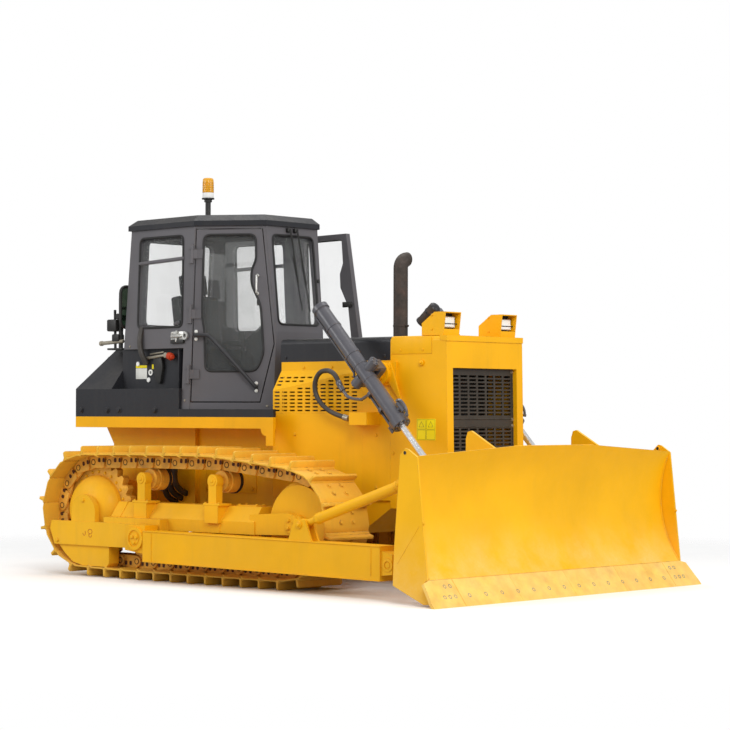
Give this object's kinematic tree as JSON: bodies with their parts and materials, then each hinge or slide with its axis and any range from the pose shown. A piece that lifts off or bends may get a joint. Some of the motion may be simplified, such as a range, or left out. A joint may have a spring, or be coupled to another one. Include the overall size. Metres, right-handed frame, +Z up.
{
  "type": "crawler bulldozer",
  "caption": "Tracked bulldozer with a full-width straight blade on outside push arms, twin lift cylinders, a hexagonal cab with glazed side doors and a rear drawbar.",
  "frame": {"origin": "centre of the whole machine's box, on the ground under the tracks", "axes": "+X forward, towards the blade; +Y to the machine's left; +Z up"},
  "size_m": [5.14, 3.388, 3.47],
  "materials": {
    "yellow_paint": "semi-gloss yellow paint with light scuffs and dust",
    "cab_paint": "satin charcoal paint",
    "dark_paint": "satin near-black paint",
    "cylinder_paint": "glossy dark grey paint",
    "rod_chrome": "hard chrome plate",
    "track_steel": "worn, dusty track steel",
    "roller_iron": "worn cast iron with dust",
    "edge_steel": "worn wear-plate steel",
    "window_glass": "clear tempered glass",
    "hose_rubber": "matt black hose cover",
    "seat_fabric": "dark woven seat cloth",
    "dash_plastic": "grained dark plastic",
    "beacon_amber": "clear amber dome on a white base",
    "exhaust_steel": "heat-browned steel",
    "core_metal": "dull finned core",
    "engine_iron": "painted engine block"
  },
  "bodies": {
    "chassis": {"beacon": "beacon_amber", "cab_glass": "window_glass", "cab_roof": "cab_paint", "cab_shell": "cab_paint", "cab_sill": "dark_paint", "carrier_rollers": "roller_iron", "console": "dash_plastic", "cross_members": "yellow_paint", "cylinder_brackets": "yellow_paint", "drawbar": "yellow_paint", "engine_block": "engine_iron", "engine_hood": "dark_paint", "exhaust_pipe": "exhaust_steel", "final_drives": "yellow_paint", "floor_platform": "yellow_paint", "front_lamps": "yellow_paint", "fuel_tank": "cab_paint", "hose_boxes": "yellow_paint", "idlers": "yellow_paint", "intake_cap": "exhaust_steel", "lift_hose_left": "hose_rubber", "lift_hose_right": "hose_rubber", "lower_panels": "yellow_paint", "main_frame": "yellow_paint", "radiator_core": "core_metal", "radiator_grille": "dark_paint", "radiator_guard": "yellow_paint", "rear_body": "cab_paint", "seat": "seat_fabric", "side_panels": "yellow_paint", "sprockets": "track_steel", "track_frame_left": "yellow_paint", "track_frame_right": "yellow_paint", "track_left": "track_steel", "track_right": "track_steel", "track_rollers": "roller_iron"},
    "blade_frame": {"blade": "yellow_paint", "cutting_edge": "edge_steel", "blade_braces": "yellow_paint", "push_arm_left": "yellow_paint", "push_arm_right": "yellow_paint"},
    "cylinder_right": {"lift_cylinder_right": "cylinder_paint"},
    "cylinder_left": {"lift_cylinder_left": "cylinder_paint"},
    "rod_right": {"lift_rod_right": "rod_chrome"},
    "rod_left": {"lift_rod_left": "rod_chrome"},
    "door_right": {"door_right": "cab_paint", "door_glass_right": "window_glass"},
    "door_left": {"door_left": "cab_paint", "door_glass_left": "window_glass"}
  },
  "joints": [
    {"name": "blade_lift", "type": "hinge", "parent": "chassis", "child": "blade_frame", "pos_m": [-0.92, 0, 0.36], "axis": [0, -1, 0], "range_deg": [-8.9, 18]},
    {"name": "cylinder_swing_right", "type": "hinge", "parent": "chassis", "child": "cylinder_right", "pos_m": [1.03, -0.72, 1.71], "axis": [0, -1, 0], "range_deg": [-13, 26.2]},
    {"name": "rod_slide_right", "type": "slide", "parent": "cylinder_right", "child": "rod_right", "axis": [0.6815, 0, -0.7318], "range_m": [-0.692, 0.342]},
    {"name": "cylinder_swing_left", "type": "hinge", "parent": "chassis", "child": "cylinder_left", "pos_m": [1.03, 0.72, 1.71], "axis": [0, -1, 0], "range_deg": [-13, 26.2]},
    {"name": "rod_slide_left", "type": "slide", "parent": "cylinder_left", "child": "rod_left", "axis": [0.6815, 0, -0.7318], "range_m": [-0.692, 0.342]},
    {"name": "right_door", "type": "hinge", "parent": "chassis", "child": "door_right", "pos_m": [-0.988, -0.726, 1.425], "axis": [-0.0013, -0.0386, -0.9993], "range_deg": [0, 105]},
    {"name": "left_door", "type": "hinge", "parent": "chassis", "child": "door_left", "pos_m": [-0.988, 0.726, 1.425], "axis": [0.0013, -0.0386, 0.9993], "range_deg": [-33, 72]}
  ],
  "couplings": [
    {"joint": "cylinder_swing_right", "follows": "blade_lift", "ratio": 1.45},
    {"joint": "rod_slide_right", "follows": "blade_lift", "m_per_rad": -2.2},
    {"joint": "cylinder_swing_left", "follows": "blade_lift", "ratio": 1.45},
    {"joint": "rod_slide_left", "follows": "blade_lift", "m_per_rad": -2.2}
  ]
}
